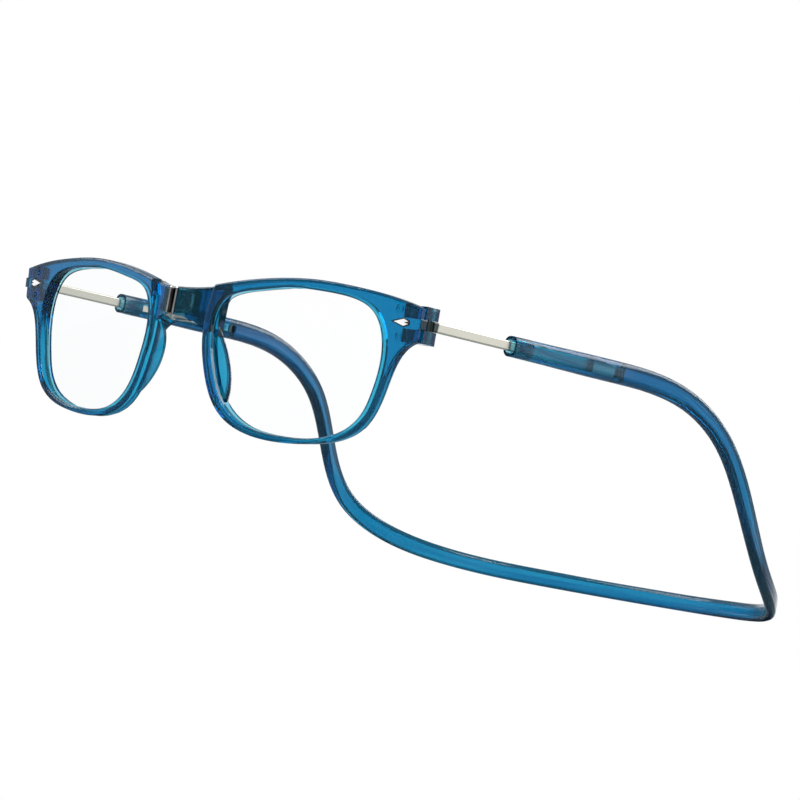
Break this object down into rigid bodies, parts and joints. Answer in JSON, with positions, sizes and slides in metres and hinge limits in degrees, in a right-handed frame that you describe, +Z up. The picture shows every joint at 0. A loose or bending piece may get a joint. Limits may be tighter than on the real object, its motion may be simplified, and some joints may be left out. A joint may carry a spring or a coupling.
{
  "type": "magnetic bridge reading glasses",
  "caption": "Reading glasses parted at a magnetic bridge, each half hinged to a flat steel bar that slides in the sleeve end of a moulded band worn behind the neck.",
  "frame": {"origin": "middle of the bounding box on the table it stands on", "axes": "+X to the wearer's left, +Y from the lenses to the back of the neck band, +Z up; the rims' lower edges and the back of the band rest on Z = 0"},
  "size_m": [0.142, 0.1863, 0.0417],
  "materials": {
    "front_plastic": "gloss, translucent",
    "band_plastic": "gloss, translucent",
    "lens": "clear, hard coated",
    "bar": "satin",
    "screw": "turned",
    "nickel": "nickel plate",
    "magnet": "dark coat",
    "plaque": "polished",
    "plaque_base": "gloss",
    "bush": "satin",
    "slot_pin": "dull"
  },
  "bodies": {
    "headband": {"headband": "band_plastic", "guide_bush_left": "bush", "guide_bush_right": "bush", "slot_pin_left": "slot_pin", "slot_pin_right": "slot_pin"},
    "arm_left": {"temple_bar_left": "bar", "bar_stop_left": "screw"},
    "front_left_half": {"front_left": "front_plastic", "lens_left": "lens", "plaque_base_left": "plaque_base", "arrow_plaque_left": "plaque", "bridge_magnet_left": "magnet", "magnet_holder_left": "nickel", "hinge_screw_left": "screw"},
    "arm_right": {"temple_bar_right": "bar", "bar_stop_right": "screw"},
    "front_right_half": {"front_right": "front_plastic", "lens_right": "lens", "plaque_base_right": "plaque_base", "arrow_plaque_right": "plaque", "bridge_magnet_right": "magnet", "magnet_holder_right": "nickel", "hinge_screw_right": "screw"}
  },
  "joints": [
    {"name": "slide_left", "type": "slide", "parent": "headband", "child": "arm_left", "axis": [0, -0.992, -0.1263], "range_m": [-0.01, 0.019]},
    {"name": "hinge_left", "type": "hinge", "parent": "arm_left", "child": "front_left_half", "pos_m": [0.0632, -0.07881, 0.03023], "axis": [0, 0.1263, -0.992], "range_deg": [0, 85]},
    {"name": "slide_right", "type": "slide", "parent": "headband", "child": "arm_right", "axis": [0, -0.992, -0.1263], "range_m": [-0.01, 0.019]},
    {"name": "hinge_right", "type": "hinge", "parent": "arm_right", "child": "front_right_half", "pos_m": [-0.0632, -0.07881, 0.03023], "axis": [0, -0.1263, 0.992], "range_deg": [0, 85]}
  ]
}
